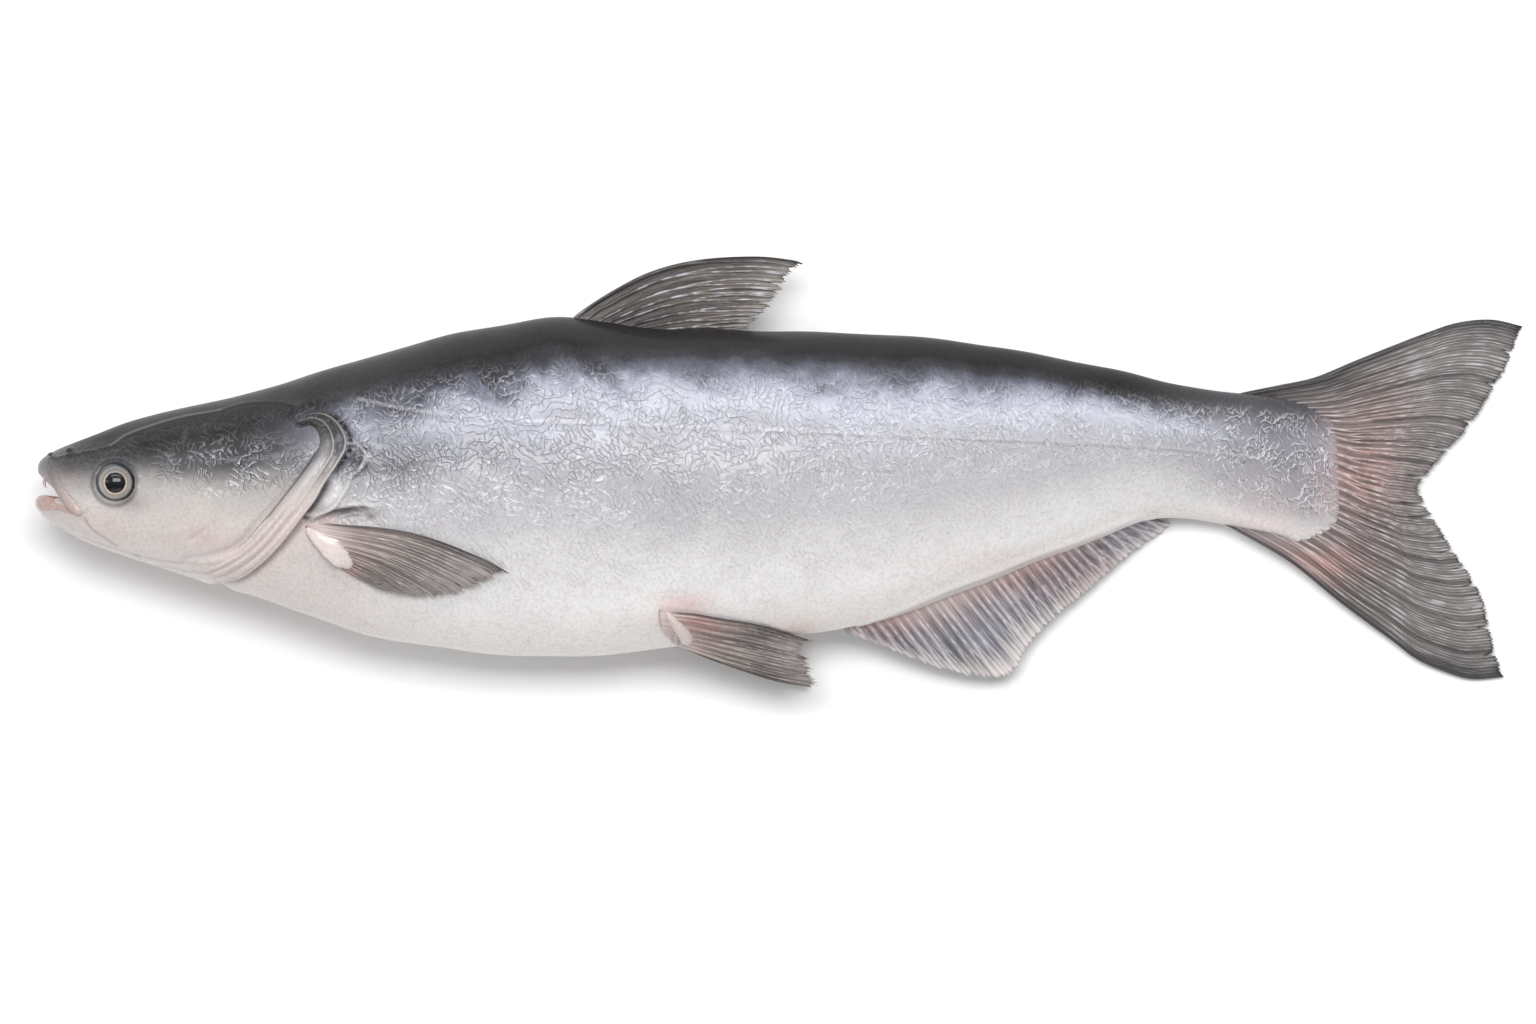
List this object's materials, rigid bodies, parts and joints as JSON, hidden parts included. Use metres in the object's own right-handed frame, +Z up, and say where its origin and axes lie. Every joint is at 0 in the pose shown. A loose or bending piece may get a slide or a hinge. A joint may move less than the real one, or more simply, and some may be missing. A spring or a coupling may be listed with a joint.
{
  "type": "whole raw fish",
  "caption": "Whole raw smooth-skinned catfish with head, fins and forked tail, lying on its right flank.",
  "frame": {"origin": "on the surface it lies on, at the middle of the outline seen from above", "axes": "+X from head to tail, +Y towards the back, +Z up out of the left flank"},
  "size_m": [0.4498, 0.1303, 0.0605],
  "materials": {
    "skin": "wet, smooth, scaleless skin: dark grey back, silver flank, off-white belly",
    "fin": "thin wet membrane over fine rays, grey-brown with pink roots and ragged edges",
    "eye": "clear wet cornea over a black pupil and a silver iris"
  },
  "bodies": {
    "root": {"body": "skin", "left_gill_cover": "skin", "right_gill_cover": "skin", "left_eye": "eye", "right_eye": "eye", "dorsal_fin": "fin", "tail_fin": "fin", "anal_fin": "fin", "left_pectoral_fin": "fin", "right_pectoral_fin": "fin", "left_pelvic_fin": "fin", "right_pelvic_fin": "fin"}
  },
  "joints": []
}
